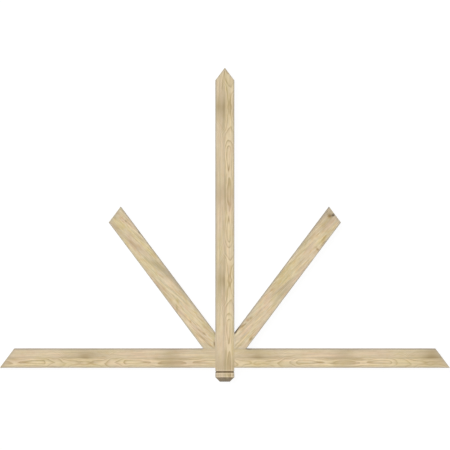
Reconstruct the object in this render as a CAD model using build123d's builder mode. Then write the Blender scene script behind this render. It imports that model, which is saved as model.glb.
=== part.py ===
from build123d import *
from math import atan2, cos, sin
import os

# Timber gable bracket: a king post halved over a bottom chord, and two struts that spring
# from the inner corners of that crossing and are cut off on the rafter lines.
# It lies on its back. X runs along the chord, Y up the post to the peak, Z out of the front.
# The origin is where the centrelines of post and chord cross, on the back face.

# The gable it fits: full width across the chord's tips, and the rafters' rise in their run
bracket_width = 2133.6
rafter_rise = 406.4
rafter_run = 304.8

# The timber stock: face across the front, depth from front to back, eased long edges
timber_face = 90.0
timber_depth = 90.0
arris_radius = 3.0

# The post's tail, from the underside of the chord down: neck, V-groove, block, chamfered foot
tail_neck = 15.4
groove_width = 9.0
tail_block = 20.6
foot_chamfer = 21.5

# The joints: play between seated faces, and the stub tenon on each strut's foot
joint_gap = 0.25
tenon_shoulder = 12.0
tenon_height = 50.0
tenon_thickness = 30.0
tenon_length = 25.0
tenon_gap = 0.5

# Levels and places that follow from the sizes above
half_face = timber_face / 2
mid_depth = timber_depth / 2
pitch = rafter_rise / rafter_run
strut_angle = atan2(rafter_rise, rafter_run)
peak_y = bracket_width / 2 * pitch - half_face
shoulder_y = peak_y - half_face * pitch
groove_top_y = -half_face - tail_neck
groove_foot_y = groove_top_y - groove_width
chamfer_top_y = groove_foot_y - tail_block
foot_y = chamfer_top_y - foot_chamfer
groove_depth = groove_width / 2
lap_depth = mid_depth + joint_gap / 2
notch_width = timber_face + 2 * joint_gap
tenon_y = half_face + tenon_shoulder + tenon_height / 2


def rafter_y(x):
    """Height of the rafters' underside at a distance x from the middle."""
    return peak_y - abs(x) * pitch


def tail_side(half_width):
    """One side of the post's tail, from the chord down to the foot, seen square on."""
    return [
        (half_width, groove_top_y),
        (half_width - groove_depth, groove_top_y - groove_depth),
        (half_width, groove_foot_y),
        (half_width, chamfer_top_y),
        (half_width - foot_chamfer, foot_y),
        (0, foot_y),
    ]


# King post: one timber, pointed to both rafters, grooved and chamfered on all four sides
with BuildPart() as king_post:
    with BuildSketch(Plane(origin=(0, foot_y, mid_depth), x_dir=(1, 0, 0), z_dir=(0, 1, 0))):
        RectangleRounded(timber_face, timber_depth, arris_radius)
    extrude(amount=peak_y - foot_y)

    # Outline from the front, with the two bevels of the peak
    with BuildSketch(Plane.XY):
        with BuildLine():
            Polyline((0, peak_y), (half_face, shoulder_y), *tail_side(half_face))
            mirror(about=Plane.YZ)
        make_face()
    extrude(amount=timber_depth, mode=Mode.INTERSECT)

    # Outline from the side, which carries groove and chamfer round to the other two faces
    with BuildSketch(Plane(origin=(0, 0, mid_depth), x_dir=(0, 0, 1), z_dir=(-1, 0, 0))):
        with BuildLine():
            Polyline((0, peak_y), (mid_depth, peak_y), *tail_side(mid_depth))
            mirror(about=Plane.YZ)
        make_face()
    extrude(amount=half_face, both=True, mode=Mode.INTERSECT)

    # Halving: the back half is cut away for the chord
    with BuildSketch(Plane.XY):
        Rectangle(timber_face, notch_width)
    extrude(amount=lap_depth, mode=Mode.SUBTRACT)

    # A blind mortise in each side for the tenon of the strut's foot
    for side in (-1, 1):
        mortise_face = Plane(
            origin=(side * half_face, tenon_y, mid_depth),
            x_dir=(0, 0, 1),
            z_dir=(-side, 0, 0),
        )
        with BuildSketch(mortise_face):
            Rectangle(tenon_thickness + 2 * tenon_gap, tenon_height + 2 * tenon_gap)
        extrude(amount=tenon_length + tenon_gap, mode=Mode.SUBTRACT)
king_post.part.label = "king_post"

# Bottom chord: one timber with both ends sawn to the rafter line
with BuildPart() as bottom_chord:
    chord_end = Plane(
        origin=(-bracket_width / 2, 0, mid_depth), x_dir=(0, 1, 0), z_dir=(1, 0, 0)
    )
    with BuildSketch(chord_end):
        RectangleRounded(timber_face, timber_depth, arris_radius)
    extrude(amount=bracket_width)

    # Outline from the front, with the raking end cuts
    with BuildSketch(Plane.XY):
        with BuildLine():
            top_corner = (bracket_width / 2 - timber_face / pitch, half_face)
            Polyline((0, half_face), top_corner, (bracket_width / 2, -half_face), (0, -half_face))
            mirror(about=Plane.YZ)
        make_face()
    extrude(amount=timber_depth, mode=Mode.INTERSECT)

    # Halving: the front half is cut away for the post
    with BuildSketch(Plane.XY.offset(timber_depth)):
        Rectangle(notch_width, timber_face)
    extrude(amount=-lap_depth, mode=Mode.SUBTRACT)
bottom_chord.part.label = "bottom_chord"

# Right strut: its centreline starts in the corner of post and chord and leans as the
# opposite rafter does, so the foot is cut to two faces and the top to the rafter line
with BuildPart() as strut_right:
    strut_reach = (rafter_y(half_face) - half_face) / (2 * sin(strut_angle))
    strut_start = Plane(
        origin=(half_face, half_face, mid_depth),
        x_dir=(0, 0, 1),
        z_dir=(cos(strut_angle), sin(strut_angle), 0),
    )
    with BuildSketch(strut_start):
        RectangleRounded(timber_depth, timber_face, arris_radius)
    extrude(amount=strut_reach + timber_face)

    # The triangle between post, chord and rafter trims both ends
    with BuildSketch(Plane.XY):
        with BuildLine():
            corner = half_face + joint_gap
            bay_width = (rafter_y(corner) - corner) / pitch
            Polyline(
                (corner, corner),
                (corner + bay_width, corner),
                (corner, rafter_y(corner)),
                close=True,
            )
        make_face()
    extrude(amount=timber_depth, mode=Mode.INTERSECT)

    # Stub tenon, from inside the foot into the post's mortise
    tenon_root = Plane(
        origin=(half_face + tenon_shoulder, tenon_y, mid_depth),
        x_dir=(0, 0, 1),
        z_dir=(-1, 0, 0),
    )
    with BuildSketch(tenon_root):
        Rectangle(tenon_thickness, tenon_height)
    extrude(amount=tenon_shoulder + tenon_length)
strut_right.part.label = "strut_right"

# Left strut: the same timber with its cuts the other way round
with BuildPart() as strut_left:
    mirror(strut_right.part, about=Plane.YZ)
strut_left.part.label = "strut_left"

os.makedirs("parts", exist_ok=True)
export_step(king_post.part, "parts/king_post.step")
export_step(bottom_chord.part, "parts/bottom_chord.step")
export_step(strut_left.part, "parts/strut_left.step")
export_step(strut_right.part, "parts/strut_right.step")
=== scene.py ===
import bpy
import numpy as np
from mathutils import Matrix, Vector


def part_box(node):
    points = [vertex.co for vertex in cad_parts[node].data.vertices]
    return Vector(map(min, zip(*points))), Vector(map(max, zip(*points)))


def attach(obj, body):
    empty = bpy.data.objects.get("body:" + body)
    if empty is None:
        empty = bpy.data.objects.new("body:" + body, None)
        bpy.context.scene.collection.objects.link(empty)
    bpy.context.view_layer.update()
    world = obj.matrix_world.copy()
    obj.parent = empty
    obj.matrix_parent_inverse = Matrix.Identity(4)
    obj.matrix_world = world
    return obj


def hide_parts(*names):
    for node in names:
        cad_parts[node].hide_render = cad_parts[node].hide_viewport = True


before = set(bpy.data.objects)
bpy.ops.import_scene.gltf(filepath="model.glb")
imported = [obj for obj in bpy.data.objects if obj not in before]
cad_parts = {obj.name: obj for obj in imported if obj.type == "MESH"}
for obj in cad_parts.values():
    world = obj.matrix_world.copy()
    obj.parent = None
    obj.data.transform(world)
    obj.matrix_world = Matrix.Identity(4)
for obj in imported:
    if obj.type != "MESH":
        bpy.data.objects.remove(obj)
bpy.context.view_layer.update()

# King post: one square fir timber, planed all round, that runs down in front of the chord.
# Its peak is sawn to both rafters. The tail has a V-groove and a chamfered foot worked on all
# four sides, and the back is halved where the chord crosses.

post_low, post_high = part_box("king_post")
chord_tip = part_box("bottom_chord")[1].x
face = post_high.x - post_low.x
depth = post_high.z - post_low.z
half_face = face / 2
peak = post_high.y
pitch = (peak + half_face) / chord_tip
arris_radius = 0.003
joint_gap = 0.00025
lap_floor = depth / 2

tail_neck = 0.0154
groove_width = 0.009
tail_block = 0.0206
foot_chamfer = 0.0215
groove_top = -half_face - tail_neck
groove_foot = groove_top - groove_width
groove_middle = (groove_top + groove_foot) / 2
chamfer_top = groove_foot - tail_block
foot = chamfer_top - foot_chamfer

ring_width = 0.0038
lens_spacing = 0.820
post_lens_at = 0.7796


def squared_section(width, thickness, flat_steps, corner_steps):
    """Once round a timber's section, anticlockwise, as a sharp square and what easing does to
    it: the section is the square plus the arris radius times the easing. Each corner is a
    quarter circle, and each flat an even run from one corner to the next. The third value is
    the outward normals."""
    turn = np.linspace(0, np.pi / 2, corner_steps + 1)
    run = np.linspace(0, 1, flat_steps + 1)[1:-1, None]
    signs = np.array([(1, 1), (-1, 1), (-1, -1), (1, -1)])
    square, easing, normals = [], [], []
    for k in range(4):
        angle = turn + k * np.pi / 2
        way = np.stack([np.cos(angle), np.sin(angle)], 1)
        here, there = signs[k], signs[(k + 1) % 4]
        square += [np.repeat(here[None], len(way), 0), here + run * (there - here)]
        easing += [way - here, way[-1] - here + run * (here - there)]
        normals += [way, np.repeat(way[-1:], len(run), 0)]
    half = np.array([width, thickness]) / 2
    return np.concatenate(square) * half, np.concatenate(easing), np.concatenate(normals)


def even_stations(marks, step):
    """Stations along a timber: every mark is kept, and each gap between two marks is divided
    evenly into cells no longer than the step."""
    gaps = [np.linspace(a, b, max(1, int(np.ceil((b - a) / step))), endpoint=False)
            for a, b in zip(marks[:-1], marks[1:])]
    return np.concatenate(gaps + [marks[-1:]])


def carry_timber(name, skins, stations, ends, end_shades, zone, inset, lap, stopped, axes, grain,
                 cut_places=()):
    """A timber as one grid: its section is carried along the stations, shrunk by the inset at
    each, with its arrises eased except where they are stopped. Near an end the stations lean
    over until they lie on the end's cut, which is a function of the place across, and past it
    the section shrinks to a point on that cut, so the ring of points closes the end. In the
    lap the depth is squeezed to one side of its floor. Planing leaves a shallow wave: two
    crossing sines, pressed in along the normals. Each end has a band of painted shade of a
    given strength, a bell of the distance to its cut. The first skin is for planed wood, and the
    second for the ends and the cut places."""
    square, easing, normals = squared_section(face, depth, flat_steps, corner_steps)
    closing = np.append(np.linspace(0, 1, cap_steps + 1)[1:-1], cap_rim_share)
    shrink = np.concatenate([closing, np.ones(len(stations)), closing[::-1]])
    base = np.concatenate([np.full(len(closing), stations[0]), stations,
                           np.full(len(closing), stations[-1])])
    radius = arris_radius * (1 - sharp_share * stopped(base[:, None], square[None, :, 0]))
    cut_in = inset(base)[:, None]
    across = square[:, 0] + radius * easing[:, 0]
    deep = square[:, 1] + radius * easing[:, 1]
    across = across * (1 - cut_in / half_face) * shrink[:, None]
    deep = deep * (1 - cut_in / (depth / 2)) * shrink[:, None] + depth / 2
    lean_low = np.clip(1 - (base - stations[0]) / zone, 0, 1)[:, None]
    lean_high = np.clip(1 - (stations[-1] - base) / zone, 0, 1)[:, None]
    along = (base[:, None] + lean_low * (ends[0](across) - stations[0])
             + lean_high * (ends[1](across) - stations[-1]))
    lap_low, lap_high, keep_front = lap
    in_lap = (base > lap_low) & (base < lap_high) & (shrink == 1)
    lip = 2 * arris_radius
    if keep_front:
        squeezed = np.interp(deep, [0, depth - lip, depth], [lap_floor, depth - lip, depth])
    else:
        squeezed = np.interp(deep, [0, lip, depth], [0, lip, lap_floor])
    deep = np.where(in_lap[:, None], squeezed, deep)
    wave = (np.sin(along * short_wave + across_lean * across / face)
            + np.sin(along * long_wave - depth_lean * deep / depth))
    press = plane_wave * (wave / 4 + 0.5) * (shrink == 1)[:, None]
    across = across - press * normals[:, 0]
    deep = deep - press * normals[:, 1]

    # Painted shade in a band along each end's cut
    end_shade = (end_shades[0] * bell(along, ends[0](across), end_shade_reach)
           + end_shades[1] * bell(along, ends[1](across), end_shade_reach))
    end_shade = np.append(end_shade * (shrink == 1)[:, None], [0, 0])

    poles = np.array([[float(cut(np.zeros(1))[0]), 0, depth / 2] for cut in ends])
    local = np.concatenate([np.stack([along, across, deep], -1).reshape(-1, 3), poles])
    origin, way_along, way_across = (np.array(a, float) for a in axes)
    points = (origin + local[:, :1] * way_along + local[:, 1:2] * way_across
              + local[:, 2:] * np.array([0, 0, 1.0]))

    rows, round_count = across.shape
    ids = np.arange(rows * round_count).reshape(rows, round_count)
    beside = np.roll(ids, -1, 1)
    quads = np.stack([ids[:-1], beside[:-1], beside[1:], ids[1:]], -1).reshape(-1, 4)
    low_fan = np.stack([beside[0], ids[0], np.full(round_count, rows * round_count)], -1)
    high_fan = np.stack([ids[-1], beside[-1], np.full(round_count, rows * round_count + 1)], -1)
    if np.cross(way_along, way_across)[2] < 0:
        quads, low_fan, high_fan = quads[:, ::-1], low_fan[:, ::-1], high_fan[:, ::-1]
    mesh = bpy.data.meshes.new(name)
    mesh.from_pydata(points.tolist(), [], quads.tolist() + low_fan.tolist() + high_fan.tolist())

    middle = (base[:-1] + base[1:]) / 2
    sawn_rows = (shrink[:-1] < 1) | (shrink[1:] < 1)
    for low, high in cut_places:
        sawn_rows |= (middle > low) & (middle < high)
    sawn = np.concatenate([np.repeat(sawn_rows, round_count), np.ones(2 * round_count, bool)])
    mesh.polygons.foreach_set("material_index", sawn.astype(np.int32))
    mesh.shade_smooth()
    mesh.set_sharp_from_angle(angle=np.radians(sharp_angle))

    rings, drift, tone, hue, knots_and_painted_light, edge = grain(*local.T)
    place = np.stack([local[:, 0], drift, local[:, 2]], -1)
    # The painted edge shade, left off where the arrises stay sharp, together with the painted shade
    # at the ends
    edge = np.maximum(edge * (1 - stopped(local[:, 0], local[:, 1])), end_shade)
    for label, values in (("rings", rings), ("hue", hue), ("knots_and_painted_light", knots_and_painted_light), ("edge", edge)):
        written = mesh.attributes.new(label, "FLOAT", "POINT").data
        written.foreach_set("value", values.astype(np.float32))
    for label, values in (("place", place), ("tone", tone)):
        written = mesh.attributes.new(label, "FLOAT_VECTOR", "POINT").data
        written.foreach_set("vector", values.astype(np.float32).ravel())
    for skin in skins:
        mesh.materials.append(skin)
    mesh.update()
    made = bpy.data.objects.new(name, mesh)
    bpy.context.scene.collection.objects.link(made)
    return made


# How finely the timbers are drawn, and how strong planing, sharp edges and the painted shade at the
# ends are
flat_steps = 40
corner_steps = 6
cap_steps = 24
cap_rim_share = 0.985
sharp_angle = 34
sharp_share = 0.9
plane_wave = 0.00015
short_wave, across_lean = 61, 9
long_wave, depth_lean = 23, 7
end_shade_reach = 0.008
end_shade_strength = 0.28


def smooth(low, high, x):
    """0 below low, 1 above high, and the cubic 3t2 - 2t3 between."""
    t = np.clip((x - low) / (high - low), 0, 1)
    return t * t * (3 - 2 * t)


def lens_distance(along, lens_at):
    """Distance to the nearest dark lens of the figure: a triangle wave of the place along."""
    half = lens_spacing / 2
    return np.abs((along - lens_at + half) % lens_spacing - half)


def edge_nearness(across, deep, reach):
    """1 on a long edge, falling off as a bell of the distance along the face from that edge."""
    off = np.maximum(half_face - np.abs(across), depth / 2 - np.abs(deep - depth / 2))
    return np.exp(-((off / reach) ** 2))


def bell(x, middle, reach):
    """1 at the middle, falling off as exp(-t2)."""
    return np.exp(-(((x - middle) / reach) ** 2))


def curve(x, at, values):
    """A smooth curve through given points: between two of them the cubic that starts and
    ends with the mean slope there."""
    at, values = np.array(at), np.array(values)
    slopes = np.gradient(values, at)
    k = np.clip(np.searchsorted(at, x) - 1, 0, len(at) - 2)
    gap = at[k + 1] - at[k]
    t = np.clip((x - at[k]) / gap, 0, 1)
    return ((1 + 2 * t) * (1 - t) ** 2 * values[k] + t * t * (3 - 2 * t) * values[k + 1]
            + t * (1 - t) ** 2 * gap * slopes[k] - t * t * (1 - t) * gap * slopes[k + 1])


def marks_on(along, across, marks):
    """Soft oval marks added up. Each is a bell of its distance in its own turned frame, given
    as its place along and across, half length, half width, slope and strength."""
    total = np.zeros_like(along)
    for at_along, at_across, half_length, half_width, slope, strength in marks:
        ahead, aside = along - at_along, across - at_across
        size = np.hypot(1, slope)
        run = (ahead + slope * aside) / size
        off = (aside - slope * ahead) / size
        total += strength * np.exp(-((run / half_length) ** 2) - ((off / half_width) ** 2))
    return total


# The figure between the middle of a lens and the middle of the next gap: how far along each
# row of values holds, how many rings below the face the pith lies, how far in from the
# mid-line, and how much flatter than a circle the rings are
figure_at = (0, 0.040, 0.057, 0.065, 0.088, 0.110, 0.128, 0.147, 0.180, 0.208, 0.225,
             0.254, 0.284, 0.312, 0.327, 0.346, 0.365, 0.384, 0.410)
pith_below = (7.56, 7.69, 7.86, 7.92, 8.12, 7.92, 7.74, 7.52, 7.36, 7.46, 7.94,
              8.91, 9.30, 9.91, 10.2, 10.5, 10.62, 10.86, 10.6)
pith_inward = (0.0197, 0.0213, 0.0230, 0.0230, 0.0205, 0.0187, 0.0185, 0.0178, 0.0170, 0.0182,
               0.0200, 0.0196, 0.0230, 0.0265, 0.0265, 0.0218, 0.0205, 0.0212, 0.0223)
pith_flatter = (1.0, 1.0, 1.0, 1.0, 1.0, 1.0, 1.0, 1.0, 1.0, 0.95, 0.80,
                0.80, 0.62, 0.80, 0.80, 0.98, 1.03, 1.0, 1.0)


def figure_rings(along, inward, below, away):
    """Ring numbers: distances from the pith in ring widths. The pith runs under one half of
    the front face. It comes nearer and goes deeper along given curves, so the face cuts
    the rings in lenses, ovals and arches. Midway between two lenses a buried branch swells
    the rings beside the mid-line."""
    off = (inward - curve(away, figure_at, pith_inward)) * curve(away, figure_at, pith_flatter)
    pinched = smooth(0.100, 0.125, away) * smooth(0.220, 0.200, away) * bell(off, 0, 0.010)
    off = off * (1 + 0.75 * pinched)
    rings = np.hypot(off, below - curve(away, figure_at, pith_below) * ring_width) / ring_width
    rings = rings + 0.10 * np.sin(along * 83) * np.sin(inward * 190 + 1)
    branch = bell(away, gap_middle, 0.080) * bell(inward, -0.0140, 0.0160) * bell(below, 0, 0.06)
    return rings + 1.7 * branch


def figured_grain(along, across, deep, lens_at, plain_side, edge_high, edge_low):
    """The figure under one half of the front face. The other half cuts the rings steeply, and
    looks plain. It carries a dark patch over the buried branch midway between two lenses, and
    a blush beside each lens. Soft lines, and golden marks in the lens and the ovals, go on
    the figured half. The dark and golden marks fade with the depth below the face."""
    away = lens_distance(along, lens_at)
    inward = -plain_side * across
    below = depth - deep
    rings = figure_rings(along, inward, below, away)

    shallow = np.exp(-below / 0.05)
    plain = smooth(0.0035, -0.0010, inward + 0.0008 * np.sin(along * 70) + 0.4 * below)
    core = bell(away, gap_middle, 0.045) * bell(inward, -0.0045, 0.0085) * plain
    cloud = bell(away, gap_middle, 0.080) + 0.25 * bell(away, gap_middle, 0.020)
    cloud = cloud * plain * (0.6 + 0.4 * smooth(-0.046, -0.012, inward))
    blush = bell(away, 0, 0.050) * (0.4 + 0.6 * plain)
    far_edge = smooth(0.026, 0.040, inward)
    strip = bell(away, 0, 0.070) * far_edge
    seam = bell(inward, -0.0022, 0.0042) * (1 + 0.7 * bell(away, 0.300, 0.070))
    line = smooth(0.108, 0.066, away) * bell(inward, 0.0028, 0.0044)
    line = line * (1 + 0.4 * bell(away, 0.070, 0.020))
    dark = 0.22 * core + 0.42 * cloud + 0.32 * blush + 0.30 * line + 0.20 * strip + 0.15 * seam
    dark = dark + marks_on(away, inward, figure_checks)
    lens = 0.294 * smooth(0.066, 0.046, away) * bell(inward, 0.0195, 0.0085)
    gold = lens + marks_on(away, inward, figure_gold)
    faded = 0.6 * bell(away, 0.270, 0.060) * smooth(0.018, 0.028, inward)

    hue = bell(away, gap_middle, 0.120) * (1 - 0.4 * plain) + 0.2 * far_edge
    hue = hue - 0.9 * bell(away, 0, 0.130) * plain - 0.8 * smooth(0.036, 0.043, inward)
    hue = hue - 0.6 * bell(away, 0.085, 0.030) * bell(inward, 0.0190, 0.0080)
    # Painted shade along the long edges, with its own strength on either side
    edge = edge_nearness(across, deep, edge_reach) * np.where(across > 0, edge_high, edge_low)
    tone = np.clip(np.stack([plain + faded, dark * shallow, gold * shallow], -1), 0, 1)
    return rings, across, tone, hue, np.zeros_like(along), edge


# Marks on the figure: their place from the lens and in from the mid-line, half length, half
# width, slope and strength
gap_middle = lens_spacing / 2
figure_checks = ((0.320, -0.0105, 0.016, 0.0040, 0.0, 0.20),)
figure_gold = ((gap_middle, 0.0220, 0.045, 0.0090, 0.0, 0.112),
               (0.362, 0.0113, 0.032, 0.0042, 0.0, 0.168),
               (0.125, 0.0187, 0.014, 0.0040, 0.0, 0.336),
               (0.180, 0.0105, 0.035, 0.0030, 0.0, 0.084))
# How far in from a long edge its painted shade reaches
edge_reach = 0.0043


def post_inset(along):
    """How far the four sides are cut in: a V of half its width at the groove, and a slope of
    45 degrees from the chamfer's top down to the foot."""
    groove = np.clip(groove_width / 2 - np.abs(along - groove_middle), 0, None)
    return groove + np.clip(chamfer_top - along, 0, foot_chamfer)


def colour(red, green, blue):
    """A display colour, each part from 0 to 255, as the linear values that a shader takes."""
    shown = np.array([red, green, blue]) / 255
    linear = np.where(shown <= 0.04045, shown / 12.92, ((shown + 0.055) / 1.055) ** 2.4)
    return (*linear.tolist(), 1.0)


def wire(tree, kind, sockets, **options):
    """One node: its options by name, and its inputs, each a value or the output that feeds it."""
    made = tree.nodes.new(kind)
    for key, value in options.items():
        setattr(made, key, value)
    for key, value in sockets.items():
        if isinstance(value, bpy.types.NodeSocket):
            tree.links.new(value, made.inputs[key])
        else:
            made.inputs[key].default_value = value
    return made


def reckon(tree, operation, *values):
    """Arithmetic on two or three values, each a number or an output."""
    return wire(tree, "ShaderNodeMath", dict(enumerate(values)), operation=operation).outputs[0]


def fibre_noise(tree, place, along, across, detail):
    """Noise drawn out along the grain: so many cells a metre along it and across it."""
    drawn = wire(tree, "ShaderNodeVectorMath", {0: place, 1: (along, across, across)},
                 operation="MULTIPLY")
    return wire(tree, "ShaderNodeTexNoise", {"Vector": drawn.outputs[0], "Scale": 1.0,
                                             "Detail": detail}).outputs["Fac"]


def spread(tree, value, from_low, from_high, to_low, to_high):
    """The value carried from one range to another, held at its ends."""
    return wire(tree, "ShaderNodeMapRange", {0: value, 1: from_low, 2: from_high,
                                             3: to_low, 4: to_high}).outputs[0]


def blend(tree, share, first, second, kind="MIX"):
    """Two colours mixed by a share, each a colour or an output."""
    return wire(tree, "ShaderNodeMix", {0: share, 6: first, 7: second}, data_type="RGBA",
                blend_type=kind).outputs[2]


def fir(name, light, plain_light, dark, plain_dark, stain, gold, band_share, least_band,
        cloud_share, mottling, shortness, streaking, rough):
    """Bare fir. Within each ring the colour deepens from pale early wood to a thin dark line,
    broken up by noise drawn out along the grain; patches, painted shade along the edges and
    ends, and knots with painted shade and highlights among them go over it. Where that last
    value is below 0 the wood is bleached or given a painted highlight instead. A greater
    shortness makes shorter streaks, and a greater streaking makes stronger ones."""
    material = bpy.data.materials.new(name)
    material.use_nodes = True
    tree = material.node_tree
    tree.nodes.clear()
    read = {label: wire(tree, "ShaderNodeAttribute", {}, attribute_name=label).outputs
            for label in ("rings", "place", "tone", "hue", "knots_and_painted_light", "edge")}
    place = read["place"]["Vector"]
    tone = wire(tree, "ShaderNodeSeparateXYZ", {0: read["tone"]["Vector"]}).outputs

    wobble = spread(tree, fibre_noise(tree, place, 7, 60, 3), 0.25, 0.75, -0.09, 0.09)
    ring = reckon(tree, "ADD", read["rings"]["Fac"], wobble)
    ramp = wire(tree, "ShaderNodeValToRGB", {0: reckon(tree, "FRACT", ring)})
    stops = ramp.color_ramp.elements
    for stop, at, level in ((stops[0], *ring_start), (stops[1], *ring_end)):
        stop.position, stop.color = at, (level, level, level, 1)
    for at, level in ring_between:
        stops.new(at).color = (level, level, level, 1)
    breaking = fibre_noise(tree, place, 9 * shortness, 45, 2)
    breaking = spread(tree, breaking, 0.3, 0.7, least_band, 1.0)
    band = reckon(tree, "MULTIPLY", ramp.outputs[0], breaking)
    band = reckon(tree, "MULTIPLY", band, band_share)

    pale = blend(tree, tone[0], light, plain_light)
    deep = blend(tree, tone[0], dark, plain_dark)
    wood = blend(tree, band, pale, deep)
    clouds = fibre_noise(tree, place, 9, 30, 3)
    lean = reckon(tree, "MULTIPLY_ADD", read["hue"]["Fac"], -0.12, clouds)
    wood = blend(tree, spread(tree, lean, 0.5, 0.72, 0, cloud_share), wood, pink_cloud)
    wood = blend(tree, spread(tree, lean, 0.5, 0.28, 0, cloud_share), wood, olive_cloud)
    mottle = fibre_noise(tree, place, 42, 40 + 45 * shortness, 3)
    wood = blend(tree, spread(tree, mottle, 0.5, 0.70, 0, mottling), wood, dark_mottle)
    wood = blend(tree, spread(tree, mottle, 0.5, 0.30, 0, mottling), wood, pale_mottle)
    broad = spread(tree, fibre_noise(tree, place, 4 * shortness, 110, 2), 0.25, 0.75,
                   1 - 0.12 * streaking, 1 + 0.12 * streaking)
    streaks = spread(tree, fibre_noise(tree, place, 9 * shortness, 300, 3), 0.25, 0.75,
                     1 - 0.12 * streaking, 1 + 0.10 * streaking)
    fibres = spread(tree, fibre_noise(tree, place, 25, 1400, 3), 0.25, 0.75, 0.92, 1.07)
    shade = reckon(tree, "MULTIPLY", reckon(tree, "MULTIPLY", streaks, fibres), broad)
    flecks = spread(tree, fibre_noise(tree, place, 90, 1800, 1), 0.66, 0.74, 1.0, 0.8)
    shade = reckon(tree, "MULTIPLY", shade, flecks)
    grey = wire(tree, "ShaderNodeCombineXYZ", {0: shade, 1: shade, 2: shade}).outputs[0]
    wood = blend(tree, 1.0, wood, grey, "MULTIPLY")
    wood = blend(tree, tone[1], wood, stain)
    wood = blend(tree, tone[2], wood, gold)
    # Painted shade along the edges and at the ends: a grey over a wide band, then a dark brown-grey
    # by the edge value.
    edge_grey_share = reckon(tree, "MULTIPLY", reckon(tree, "POWER", read["edge"]["Fac"], 0.3), 0.35)
    wood = blend(tree, edge_grey_share, wood, grey_edge_shade)
    wood = blend(tree, read["edge"]["Fac"], wood, dark_edge_shade)
    # Below 0: bleached wood and painted highlights on rims. Above 0: knots, painted shade in the
    # groove and painted shadows in two corners.
    wood = blend(tree, spread(tree, read["knots_and_painted_light"]["Fac"], 0, -1, 0, 1), wood, bleach_and_highlight)
    wood = blend(tree, read["knots_and_painted_light"]["Fac"], wood, knot_and_shade_brown)

    height = reckon(tree, "ADD", fibre_noise(tree, place, 30, 900, 3), band)
    bump = wire(tree, "ShaderNodeBump", {"Height": height, "Distance": 0.00025,
                                         "Strength": 0.5})
    roughness = spread(tree, fibre_noise(tree, place, 20, 500, 2), 0.3, 0.7,
                       rough - 0.06, rough + 0.08)
    shader = wire(tree, "ShaderNodeBsdfPrincipled", {
        "Base Color": wood, "Roughness": roughness, "Specular IOR Level": 0.25,
        "Normal": bump.outputs[0]})
    wire(tree, "ShaderNodeOutputMaterial", {0: shader.outputs[0]})
    return material


# How dark the wood is on its way through one ring, from just past the last dark line
ring_start, ring_end = (0.0, 0.4), (1.0, 0.8)
ring_between = ((0.06, 0.0), (0.45, 0.08), (0.74, 0.42), (0.91, 1.0))
pink_cloud, olive_cloud = colour(219, 190, 163), colour(208, 192, 138)
dark_mottle, pale_mottle = colour(206, 168, 112), colour(228, 214, 190)
# The grey and the dark brown-grey of the painted shade along the edges and ends
grey_edge_shade, dark_edge_shade = colour(196, 188, 172), colour(140, 133, 124)
# Pale for bleached wood and painted highlights, dark brown for knots and painted shade
bleach_and_highlight, knot_and_shade_brown = colour(244, 228, 200), colour(66, 50, 32)

planed_fir = fir(
    "planed_fir", light=colour(227, 208, 171), plain_light=colour(220, 202, 170),
    dark=colour(155, 125, 74), plain_dark=colour(186, 165, 126), stain=colour(163, 143, 105),
    gold=colour(150, 120, 68), band_share=0.82, least_band=0.4, cloud_share=0.42, mottling=0.18,
    shortness=1.0, streaking=1.0, rough=0.62)
# Sawn fir for the ends and the foot's chamfer: its end grain is darker, and the colour is also set
# dark enough to paint the shade of the down-facing chamfer.
sawn_and_shaded_fir = fir(
    "sawn_and_shaded_fir", light=colour(157, 139, 112), plain_light=colour(153, 138, 114),
    dark=colour(96, 79, 57), plain_dark=colour(104, 89, 69), stain=colour(120, 100, 72),
    gold=colour(90, 66, 40), band_share=0.8, least_band=0.4, cloud_share=0.3, mottling=0.2,
    shortness=1.0, streaking=1.0, rough=0.8)

grain_step = 0.005
fine_step = 0.0012
near_nothing = 0.0001
lap_low = -half_face - joint_gap
lap_high = half_face + joint_gap
stop_run = 0.012
seat_top = half_face + half_face * np.hypot(1, pitch)
seat_reach = half_face + half_face * np.hypot(1, pitch) / pitch
post_marks = [foot, chamfer_top, groove_foot, groove_middle, groove_top,
              lap_low, lap_low + near_nothing, lap_high - near_nothing, lap_high, peak]
post_stations = np.unique(np.concatenate([
    even_stations(np.array(post_marks[:5]), fine_step),
    even_stations(np.array(post_marks[4:]), grain_step)]))


def post_stopped(along, across):
    """1 where the long edges are left sharp: beside the chord and the feet of both struts."""
    below = smooth(-half_face - stop_run, -half_face, along)
    return below * smooth(seat_top + stop_run, seat_top, along)


post_stains = ((1.193, -0.0310, 0.045, 0.0180, 0.00, 0.20),
               (1.300, -0.0110, 0.024, 0.0024, 0.06, 0.50),
               (1.352, -0.0022, 0.022, 0.0024, 0.12, 0.40))
post_lines = ((1.205, 0.0262, 0.050, 0.0024, 0.00, 0.40),
              (1.312, 0.0080, 0.020, 0.0024, -0.50, 0.35),
              (1.300, -0.0110, 0.024, 0.0024, 0.06, 0.20),
              (1.352, -0.0022, 0.022, 0.0024, 0.12, 0.25))
# Strengths of the painted shade in the groove and of the darkening at the foot, then of the painted
# highlights on the rims of groove and chamfer
groove_shade, foot_darkening = 0.95, 0.22
groove_rim_highlight, chamfer_rim_highlight = 0.40, 0.25
front_reach = 0.04


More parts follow.
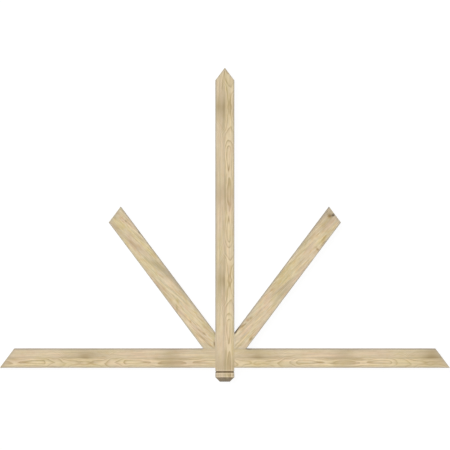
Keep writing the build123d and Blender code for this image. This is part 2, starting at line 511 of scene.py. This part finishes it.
def post_grain(along, across, deep):
    """The figured grain, plain on the left half. Painted shade lies in the bottom of the groove,
    the foot is darkened, painted highlights lie on the rims of groove and chamfer, and the
    figure is darker at two places and paler at one."""
    rings, drift, tone, hue, knots_and_painted_light, edge = figured_grain(
        along, across, deep, post_lens_at, plain_side=-1, edge_high=0.5, edge_low=0.6)
    # Painted shade in the bottom of the groove and a darker foot; painted highlights, as values
    # below 0, on the rims
    groove_shade_and_foot_darkening = groove_shade * bell(along, groove_middle, 0.0027) + foot_darkening * bell(along, foot, 0.009)
    rims = bell(along, groove_top + 0.0024, 0.0024) + bell(along, groove_foot - 0.0026, 0.0024)
    knots_and_painted_light = knots_and_painted_light + groove_shade_and_foot_darkening - groove_rim_highlight * rims - chamfer_rim_highlight * bell(along, chamfer_top + 0.0026, 0.0024)
    front = bell(deep, depth, front_reach)
    darker = 0.24 * bell(along, 1.190, 0.036) + 0.14 * bell(along, -0.020, 0.050)
    tone[:, 1] += darker * smooth(-0.001, 0.004, across) * front
    tone[:, 2] *= 1 - 0.5 * bell(along, post_lens_at, 0.070)
    # Golden brown in the groove, part of its painted shade
    tone[:, 2] += 0.35 * bell(along, groove_middle, 0.0040)
    tone[:, 1] += marks_on(along, across, post_stains) * front
    tone[:, 2] += marks_on(along, across, post_lines) * front
    return rings, drift, np.clip(tone, 0, 1), hue, np.clip(knots_and_painted_light, -1, 1), edge


post_timber = carry_timber(
    "post_timber",
    skins=(planed_fir, sawn_and_shaded_fir),
    stations=post_stations,
    ends=(lambda across: np.full_like(across, foot), lambda across: peak - np.abs(across) * pitch),
    end_shades=(end_shade_strength, end_shade_strength),
    zone=0.2,
    inset=post_inset,
    lap=(lap_low + near_nothing / 2, lap_high - near_nothing / 2, True),
    stopped=post_stopped,
    axes=((0, 0, 0), (0, 1, 0), (1, 0, 0)),
    grain=post_grain,
    cut_places=((foot, chamfer_top),))
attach(post_timber, "root")
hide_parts("king_post")

# Bottom chord: the same fir stock laid level, with both ends sawn to the rafter line. Its
# front is halved for the post, so that the faces of both timbers come out flush.

chord_lens_at = 0.5663


def chord_stopped(along, across):
    """1 where the long edges are left sharp: above under the struts' feet, below at the post."""
    reach = np.where(across > 0, seat_reach, half_face)
    return smooth(reach + stop_run, reach, np.abs(along))


def chord_grain(along, across, deep):
    """The figured grain, plain on the upper half. The upper edge is dark in two places: beside
    the right strut's foot a painted shadow of that strut, and further left a dark line. The
    right end is darker than the rest, and so is the figure's left lens."""
    rings, drift, tone, hue, knots_and_painted_light, edge = figured_grain(
        along, across, deep, chord_lens_at, plain_side=1, edge_high=0.68, edge_low=0.38)
    # The bell at 0.112 is the painted shadow of the right strut on the upper edge beside its foot;
    # the other is a dark line
    on_edge = bell(across, half_face, 0.003) * bell(deep, depth, 0.006)
    knots_and_painted_light = knots_and_painted_light + on_edge * (0.9 * bell(along, 0.112, 0.016) + 0.35 * bell(along, -0.243, 0.030))
    figured = smooth(0.001, -0.004, across) * bell(deep, depth, front_reach)
    tone[:, 1] += 0.3 * smooth(0.90, 1.02, along) * bell(deep, depth, 0.05)
    tone[:, 1] += 0.24 * bell(along, chord_lens_at - lens_spacing, 0.060) * figured
    tone[:, 2] *= 1 - 0.5 * bell(along, chord_lens_at, 0.070)
    return rings, drift, np.clip(tone, 0, 1), hue, knots_and_painted_light, edge


chord_timber = carry_timber(
    "chord_timber",
    skins=(planed_fir, sawn_and_shaded_fir),
    stations=even_stations(np.array([-chord_tip, lap_low, lap_low + near_nothing,
                                     lap_high - near_nothing, lap_high, chord_tip]), grain_step),
    ends=(lambda across: -chord_tip + (across + half_face) / pitch,
          lambda across: chord_tip - (across + half_face) / pitch),
    end_shades=(end_shade_strength, end_shade_strength),
    zone=0.25,
    inset=np.zeros_like,
    lap=(lap_low + near_nothing / 2, lap_high - near_nothing / 2, False),
    stopped=chord_stopped,
    axes=((0, 0, 0), (1, 0, 0), (0, 1, 0)),
    grain=chord_grain)
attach(chord_timber, "root")
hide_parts("bottom_chord")

# Struts: two lengths of the same stock that spring from the inner corners of post and chord.
# Each foot is cut to two faces, one against the post and one on the chord, and is held by a
# stub tenon; the top is sawn off on the rafter line.

rise = np.array([1.0, pitch]) / np.hypot(1.0, pitch)
no_lap = (1.0, 0.0, True)
clouded_fir = fir(
    "clouded_fir", light=colour(220, 201, 162), plain_light=colour(220, 206, 175),
    dark=colour(180, 154, 104), plain_dark=colour(192, 166, 120), stain=colour(156, 144, 118),
    gold=colour(154, 114, 36), band_share=0.5, least_band=0.1, cloud_share=0.7, mottling=0.42,
    shortness=2.2, streaking=1.3, rough=0.62)
strut_step = 0.0025
# Weaker painted shade at the struts' feet than at the other ends
foot_end_shade = 0.14


def strut_foot(across):
    """The foot's cut: the further of the post's side and the chord's top, joint gap included."""
    return np.maximum(joint_gap / rise[0] + across * rise[1] / rise[0],
                      joint_gap / rise[1] - across * rise[0] / rise[1])


def strut_top(across):
    """The end's cut on the rafter line: height plus pitch times distance out is constant."""
    rest = peak - half_face - pitch * half_face
    return (rest + across * (pitch * rise[1] - rise[0])) / (rise[1] + pitch * rise[0])


def strut_grain(along, across, deep, aside, edge_high, top_end_darkening, swells, pale, stains, golden,
                olive, knots_and_shadows):
    """Slanting grain from near a tree's outside: wide rings that run across the face as the
    timber goes up, are arcs about a pith far behind it, and swell round knots. Patches, stains,
    streaks and knots lie where given, with a painted shadow of the post among the right
    strut's knots, and one timber's noise is taken from aside of the other's."""
    below = depth - deep
    shallow = bell(below, 0, 0.03)
    drift = across + strut_slant * along + 0.0012 * np.sin(along * 17 + 40 * aside)
    off = drift - strut_slant * strut_middle
    rings = (np.hypot(off, pith_behind - below) - np.hypot(off, pith_behind)) / ring_width
    rings = rings + drift / strut_ring_width + 3 * aside
    uneven = 0.35 * np.sin(drift * 150 + 2) + 0.25 * np.sin(drift * 260)
    rings = rings + (uneven + marks_on(along, across, swells)) * shallow
    tone = [0.35 + marks_on(along, across, pale), marks_on(along, across, stains) * shallow,
            marks_on(along, across, golden) * shallow]
    tone = np.clip(np.stack(tone, -1), 0, 1)
    # Painted shade along the long edges, with its own strength on either side
    edge = edge_nearness(across, deep, edge_reach) * np.where(across > 0, edge_high, strut_edge_low)
    # Darker towards the top end, much more on the right strut than on the left
    edge = edge + top_end_darkening * bell(along, strut_top(across), 0.010) * shallow
    knots_and_painted_light = marks_on(along, across, knots_and_shadows) * shallow
    return (rings, drift + aside, tone, marks_on(along, across, olive), np.clip(knots_and_painted_light, -1, 1),
            np.clip(edge, 0, 1))


def no_stop(along, across):
    """The struts' long edges are eased from end to end."""
    return np.zeros_like(along * across)


strut_length = float(strut_top(np.zeros(1))[0])
strut_slant = 0.14
strut_middle = 0.4
strut_ring_width = 0.0105
pith_behind = 0.16
strut_edge_low = 0.42

# Each mark: its place along and across, half length, half width, slope and strength
left_marks = {
    "aside": 0.0, "edge_high": 0.43, "top_end_darkening": 0.05,
    "swells": (
        (0.070, -0.021, 0.060, 0.013, -0.04, 1.4), (0.740, 0.024, 0.020, 0.008, 0.0, 1.0)),
    "pale": (
        (0.073, 0.004, 0.010, 0.006, 0.0, 1.0), (0.410, -0.006, 0.070, 0.013, -0.12, 0.9),
        (0.205, -0.020, 0.014, 0.006, 0.0, 0.5)),
    "stains": (
        (0.045, -0.026, 0.020, 0.009, -0.5, 0.30), (0.088, 0.000, 0.010, 0.004, -0.2, 0.25),
        (0.330, 0.039, 0.090, 0.009, 0.0, 0.40), (0.425, 0.031, 0.080, 0.016, -0.14, 0.41),
        (0.485, 0.015, 0.050, 0.016, -0.14, 0.26), (0.515, 0.001, 0.045, 0.009, -0.14, 0.26),
        (0.640, -0.007, 0.070, 0.014, -0.14, 0.24), (0.745, -0.036, 0.055, 0.006, -0.14, 0.40),
        (0.264, -0.030, 0.018, 0.0035, 0.55, 0.40), (0.790, 0.010, 0.012, 0.030, 0.3, 0.20)),
    "golden": (
        (0.0211, 0.0110, 0.011, 0.005, 0.42, 0.75), (0.022, -0.0075, 0.022, 0.003, -0.4, 0.50),
        (0.080, -0.019, 0.040, 0.005, -0.26, 0.36), (0.112, -0.006, 0.018, 0.003, -0.2, 0.36),
        (0.174, -0.0165, 0.006, 0.004, 0.0, 0.55), (0.095, 0.025, 0.040, 0.012, 0.0, 0.20),
        (0.288, -0.008, 0.011, 0.006, 0.0, 0.20), (0.322, -0.007, 0.010, 0.002, -0.1, 0.28),
        (0.264, -0.030, 0.016, 0.004, 0.55, 0.15), (0.385, -0.031, 0.060, 0.009, -0.1, 0.20),
        (0.398, -0.039, 0.020, 0.003, 0.0, 0.28), (0.625, -0.010, 0.050, 0.008, -0.14, 0.12),
        (0.720, -0.030, 0.060, 0.005, -0.14, 0.20), (0.739, 0.0238, 0.008, 0.004, 0.0, 0.38),
        (0.090, 0.000, 0.011, 0.004, -0.2, 0.50)),
    "olive": (
        (0.058, 0.033, 0.014, 0.010, 0.0, 1.4), (0.095, 0.024, 0.030, 0.010, 0.0, -0.7),
        (0.172, 0.018, 0.022, 0.014, 0.0, -1.4), (0.195, 0.032, 0.020, 0.008, 0.0, 1.2),
        (0.288, -0.008, 0.016, 0.009, 0.0, 1.6), (0.300, 0.016, 0.040, 0.012, 0.0, -1.0),
        (0.470, 0.020, 0.050, 0.014, -0.14, 1.2), (0.444, 0.001, 0.016, 0.007, 0.0, -1.4),
        (0.560, 0.024, 0.050, 0.016, 0.0, 1.4), (0.732, -0.003, 0.016, 0.010, 0.0, 1.4),
        (0.760, 0.018, 0.022, 0.010, 0.0, -1.2), (0.264, -0.030, 0.020, 0.005, 0.55, 1.5)),
    "knots_and_shadows": (
        (0.0180, 0.0090, 0.005, 0.002, 0.42, 0.25), (0.0270, 0.0135, 0.006, 0.0025, 0.42, 0.28),
        (0.059, 0.0400, 0.005, 0.003, 0.0, 0.40), (0.088, 0.000, 0.006, 0.003, -0.2, 0.15),
        (0.658, 0.0415, 0.009, 0.0035, 0.0, 0.60), (0.739, 0.0240, 0.004, 0.0025, 0.0, 0.20))}
right_marks = {
    "aside": 0.7, "edge_high": 0.66, "top_end_darkening": 0.35,
    "swells": (
        (0.128, 0.031, 0.040, 0.010, -0.1, 1.2), (0.640, -0.038, 0.050, 0.012, 0.0, 1.4),
        (0.745, 0.012, 0.030, 0.016, 0.0, 1.2)),
    "pale": (
        (0.080, 0.010, 0.050, 0.012, 0.0, 0.5), (0.622, -0.034, 0.003, 0.004, 0.0, 1.0),
        (0.175, 0.029, 0.075, 0.012, 0.0, 1.0)),
    "stains": (
        (0.350, -0.028, 0.075, 0.012, 0.0, 0.36), (0.340, 0.000, 0.050, 0.030, 0.0, 0.18),
        (0.385, -0.017, 0.035, 0.0025, -0.14, 0.40), (0.420, -0.018, 0.035, 0.0025, -0.28, 0.35),
        (0.500, -0.002, 0.060, 0.003, -0.15, 0.30), (0.760, 0.005, 0.028, 0.030, 0.0, 0.36),
        (0.750, 0.040, 0.050, 0.008, 0.0, 0.45), (0.365, -0.008, 0.045, 0.0028, -0.15, 0.45),
        (0.670, -0.038, 0.030, 0.003, 0.0, 0.35), (0.782, 0.034, 0.016, 0.012, 0.0, 0.35),
        (0.784, 0.016, 0.010, 0.010, 0.0, 0.35), (0.610, 0.028, 0.062, 0.013, 0.0, 0.27),
        (0.712, 0.010, 0.022, 0.022, 0.0, 0.17)),
    "golden": (
        (0.034, -0.011, 0.026, 0.0035, -0.1, 0.34), (0.110, 0.0336, 0.020, 0.0055, -0.42, 0.75),
        (0.147, 0.031, 0.007, 0.006, 0.0, 0.32), (0.163, 0.0258, 0.010, 0.0050, -0.2, 0.52),
        (0.200, 0.014, 0.035, 0.0025, -0.2, 0.28), (0.085, -0.0334, 0.011, 0.005, 0.0, 0.60),
        (0.125, -0.024, 0.020, 0.004, 0.0, 0.20), (0.365, -0.008, 0.050, 0.0028, -0.15, 0.28),
        (0.330, 0.0235, 0.022, 0.0028, -0.28, 0.42), (0.385, 0.0155, 0.032, 0.003, -0.05, 0.26),
        (0.390, 0.035, 0.060, 0.008, 0.0, 0.06), (0.500, -0.002, 0.060, 0.003, -0.15, 0.14),
        (0.614, -0.033, 0.005, 0.007, 0.0, 0.55), (0.676, -0.0245, 0.020, 0.0026, -0.05, 0.70),
        (0.618, -0.0205, 0.012, 0.0030, -0.3, 0.40), (0.656, -0.0350, 0.020, 0.0030, 0.0, 0.45),
        (0.722, 0.0120, 0.022, 0.010, 0.0, 0.22), (0.774, 0.0160, 0.010, 0.010, 0.0, 0.68),
        (0.540, 0.0300, 0.050, 0.012, 0.0, 0.05), (0.740, 0.0140, 0.045, 0.026, 0.0, 0.05)),
    "olive": (
        (0.110, 0.0336, 0.018, 0.006, -0.42, 1.2), (0.146, 0.031, 0.008, 0.007, 0.0, -2.4),
        (0.090, 0.002, 0.050, 0.012, 0.0, -1.2), (0.280, 0.018, 0.024, 0.014, 0.0, -1.6),
        (0.370, 0.034, 0.060, 0.010, 0.0, 0.6), (0.440, 0.004, 0.060, 0.012, -0.1, 0.8),
        (0.085, -0.033, 0.012, 0.006, 0.0, 1.6), (0.722, 0.012, 0.028, 0.014, 0.0, 1.8),
        (0.656, -0.033, 0.024, 0.006, 0.0, 1.4), (0.530, 0.020, 0.060, 0.014, 0.0, 0.9),
        (0.610, 0.000, 0.030, 0.014, 0.0, -1.2), (0.735, -0.010, 0.030, 0.012, 0.0, -1.2)),
    "knots_and_shadows": (
        # The first two marks are not knots but the painted shadow of the post on the upper edge
        # beside it
        (0.064, 0.0436, 0.012, 0.0042, 0.0, 1.00), (0.086, 0.0440, 0.018, 0.0034, 0.0, 0.80),
        (0.125, 0.0280, 0.006, 0.002, -0.42, 0.25), (0.672, -0.0188, 0.024, 0.0020, -0.03, -0.35),
        (0.032, -0.0148, 0.004, 0.002, 0.0, 0.30), (0.086, -0.037, 0.010, 0.003, 0.0, 0.30),
        (0.614, -0.034, 0.0035, 0.005, 0.0, 0.25), (0.660, -0.040, 0.020, 0.0025, 0.0, 0.30),
        (0.774, 0.0207, 0.006, 0.004, 0.0, 0.30), (0.788, 0.0050, 0.0060, 0.0055, 0.0, 1.0),
        (0.779, 0.0120, 0.008, 0.006, -0.7, 0.40))}

for label, node, hand, marks in (("left_strut_timber", "strut_left", -1, left_marks),
                                 ("right_strut_timber", "strut_right", 1, right_marks)):
    strut_timber = carry_timber(
        label,
        skins=(clouded_fir, sawn_and_shaded_fir),
        stations=even_stations(np.array([0.0, strut_length]), strut_step),
        ends=(strut_foot, strut_top),
        end_shades=(foot_end_shade, end_shade_strength),
        zone=0.2,
        inset=np.zeros_like,
        lap=no_lap,
        stopped=no_stop,
        axes=((hand * half_face, half_face, 0), (hand * rise[0], rise[1], 0),
              (-hand * rise[1], rise[0], 0)),
        grain=lambda along, across, deep: strut_grain(along, across, deep, **marks))
    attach(strut_timber, "root")
    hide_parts(node)

# Floor: a wide pale sheet just under the bracket. What the camera sees of it glows white, and
# its own pale surface still takes the bracket's shadow.

floor_reach = 60.0
floor_level = -0.0003
floor_mesh = bpy.data.meshes.new("floor")
floor_mesh.from_pydata([(x * floor_reach, y * floor_reach, floor_level)
                        for x, y in ((-1, -1), (1, -1), (1, 1), (-1, 1))], [], [(0, 1, 2, 3)])
floor = bpy.data.objects.new("floor", floor_mesh)
bpy.context.scene.collection.objects.link(floor)


def straight_look(tree):
    """1 for a ray that the camera sends, also through glass or off a gloss, and 0 for the rest."""
    path = wire(tree, "ShaderNodeLightPath", {}).outputs
    looked = reckon(tree, "MAXIMUM", path["Is Camera Ray"], path["Is Glossy Ray"])
    return reckon(tree, "MAXIMUM", looked, path["Is Transmission Ray"])


floor_glow = 0.94
shadow_catch = (0.10, 0.10, 0.10, 1)
floor_paint = (0.55, 0.55, 0.54, 1)
pale_floor = bpy.data.materials.new("pale_floor")
pale_floor.use_nodes = True
tree = pale_floor.node_tree
tree.nodes.clear()
glow = wire(tree, "ShaderNodeEmission", {"Color": (1, 1, 1, 1), "Strength": floor_glow})
catch = wire(tree, "ShaderNodeBsdfDiffuse", {"Color": shadow_catch})
shown = wire(tree, "ShaderNodeAddShader", {0: glow.outputs[0], 1: catch.outputs[0]})
painted = wire(tree, "ShaderNodeBsdfDiffuse", {"Color": floor_paint})
both = wire(tree, "ShaderNodeMixShader", {0: straight_look(tree), 1: painted.outputs[0],
                                          2: shown.outputs[0]})
wire(tree, "ShaderNodeOutputMaterial", {0: both.outputs[0]})
floor_mesh.materials.append(pale_floor)

# Light: a pale sky that is brightest overhead, and one broad soft lamp from the upper left.
# Both are plain white, at a level where a colour shows about as it is written.

sky_at_level, sky_overhead = 0.12, 0.72
lamp_strength = 1.55
lamp_spread = 30
lamp_tilt, lamp_roll = -14, -18
scene = bpy.context.scene
world = bpy.data.worlds.new("studio")
scene.world = world
world.use_nodes = True
tree = world.node_tree
tree.nodes.clear()
height = wire(tree, "ShaderNodeTexCoord", {}).outputs["Generated"]
height = wire(tree, "ShaderNodeSeparateXYZ", {0: height}).outputs[2]
sky_strength = spread(tree, height, 0, 1, sky_at_level, sky_overhead)
sky = wire(tree, "ShaderNodeBackground", {"Color": (1, 1, 1, 1), "Strength": sky_strength})
white = wire(tree, "ShaderNodeBackground", {"Color": (1, 1, 1, 1), "Strength": 1.0})
both = wire(tree, "ShaderNodeMixShader", {0: straight_look(tree), 1: sky.outputs[0],
                                          2: white.outputs[0]})
wire(tree, "ShaderNodeOutputWorld", {0: both.outputs[0]})

lamp = bpy.data.lights.new("overhead", "SUN")
lamp.energy = lamp_strength
lamp.angle = np.radians(lamp_spread)
overhead = bpy.data.objects.new("overhead", lamp)
overhead.rotation_euler = (np.radians(lamp_tilt), np.radians(lamp_roll), 0)
scene.collection.objects.link(overhead)

# Camera: straight above the bracket, far off, with a long lens, as the catalogue view is
# taken. It stands a hair aside of the middle, as that view does.

camera_distance = 23.0
view_width = 2.1326
view_middle = 0.6318
view_aside = 0.0008
lens = bpy.data.cameras.new("catalogue_view")
lens.sensor_width = 36.0
lens.lens = lens.sensor_width * camera_distance / view_width
lens.clip_end = 200.0
camera = bpy.data.objects.new("catalogue_view", lens)
camera.location = (view_aside, view_middle, depth + camera_distance)
scene.collection.objects.link(camera)
scene.camera = camera
scene.view_settings.view_transform = "Standard"
